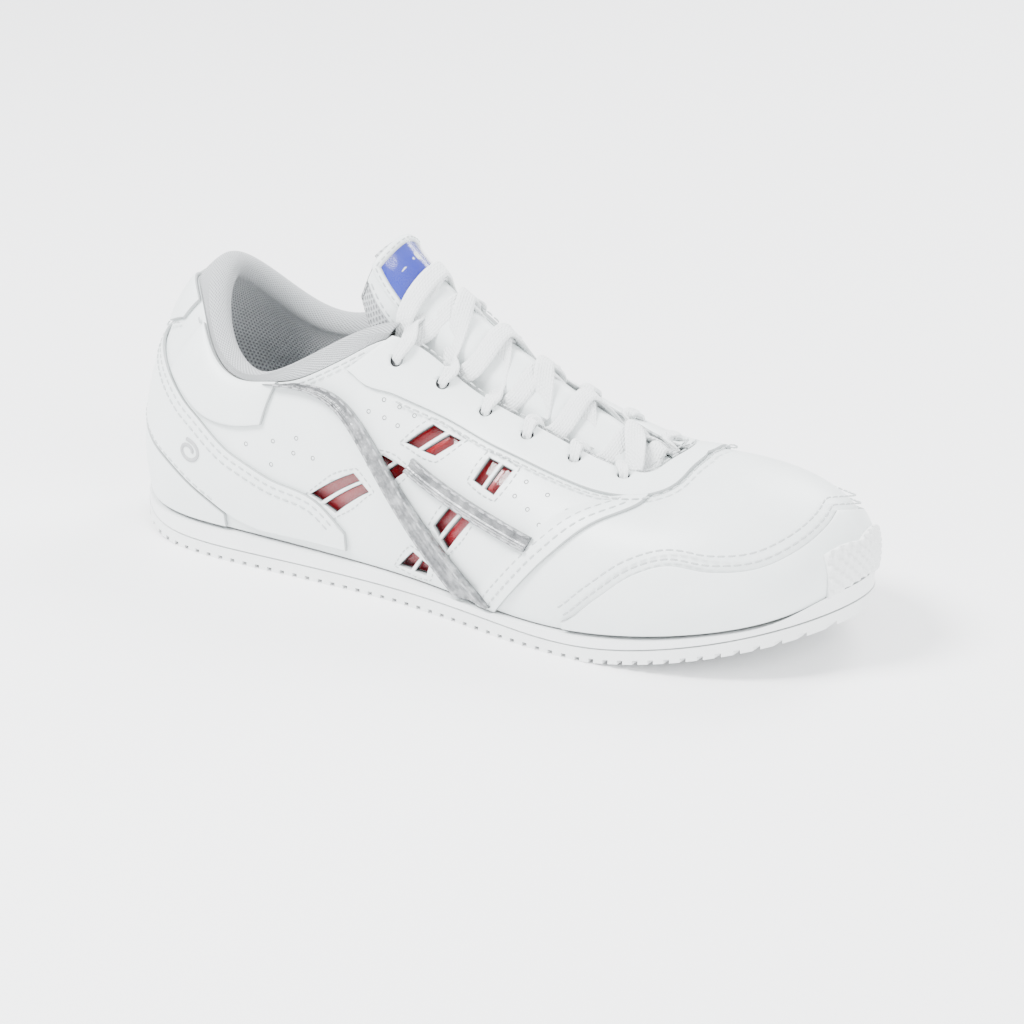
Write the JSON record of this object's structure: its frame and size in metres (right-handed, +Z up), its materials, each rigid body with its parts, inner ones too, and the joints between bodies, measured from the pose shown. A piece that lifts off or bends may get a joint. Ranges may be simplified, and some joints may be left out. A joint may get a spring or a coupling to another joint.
{
  "type": "cheer shoe",
  "caption": "Low-cut laced cheer shoe with a padded collar, see-through side windows over slide-in colour cards, and a barred rubber sole.",
  "frame": {"origin": "middle of the footprint of the whole shoe, on the ground under the tread", "axes": "+X to the toe, +Y to the inner (medial) side of a right foot, +Z up"},
  "size_m": [0.2226, 0.0768, 0.0909],
  "materials": {
    "rubber": "matt",
    "foam_sole": "satin",
    "board": "matt",
    "sockliner": "matt",
    "mesh_lining": "matt",
    "foam": "matt",
    "silver": "metallic",
    "clear_film": "gloss",
    "blue_card": "satin",
    "red_card": "satin",
    "lace": "matt",
    "lace_tip": "gloss",
    "white_leather": "satin"
  },
  "bodies": {
    "shoe": {"ankle_panel_lateral": "white_leather", "ankle_panel_medial": "white_leather", "collar_foam": "foam", "collar_lining": "mesh_lining", "eyestay": "white_leather", "eyestay_backing_lateral": "white_leather", "eyestay_backing_medial": "white_leather", "front_bar_lateral": "silver", "front_bar_medial": "silver", "heel_counter": "board", "heel_foxing": "white_leather", "heel_panel_lateral": "white_leather", "heel_panel_medial": "white_leather", "heel_tab": "white_leather", "lace": "lace", "lace_tips": "lace_tip", "midsole": "foam_sole", "outsole": "rubber", "pocket_back_lateral": "mesh_lining", "pocket_back_medial": "mesh_lining", "quarter_lateral": "white_leather", "quarter_lining_lateral": "mesh_lining", "quarter_lining_medial": "mesh_lining", "quarter_medial": "white_leather", "rear_bar_lateral": "silver", "rear_bar_medial": "silver", "strobel_board": "board", "toe_bumper": "rubber", "toe_cap": "white_leather", "toe_puff": "board", "vamp": "white_leather", "vamp_lining": "mesh_lining", "window_film_lateral": "clear_film", "window_film_medial": "clear_film"},
    "tongue": {"tongue_outer": "white_leather", "tongue_foam": "foam", "tongue_lining": "mesh_lining", "badge_card": "blue_card", "badge_film": "clear_film"},
    "sockliner": {"sockliner": "sockliner"},
    "card_lateral": {"colour_card_lateral": "red_card"},
    "card_medial": {"colour_card_medial": "red_card"}
  },
  "joints": [
    {"name": "tongue_hinge", "type": "hinge", "parent": "shoe", "child": "tongue", "pos_m": [0.0605, 0, 0.04], "axis": [0, 1, 0], "range_deg": [-12, 0]},
    {"name": "sockliner_lift", "type": "slide", "parent": "shoe", "child": "sockliner", "axis": [0, 0, 1], "range_m": [0, 0.006]},
    {"name": "card_lateral_slide", "type": "slide", "parent": "shoe", "child": "card_lateral", "axis": [-0.9995, 0.03, 0], "range_m": [0, 0.004]},
    {"name": "card_medial_slide", "type": "slide", "parent": "shoe", "child": "card_medial", "axis": [-0.9998, 0.02, 0], "range_m": [0, 0.004]}
  ]
}
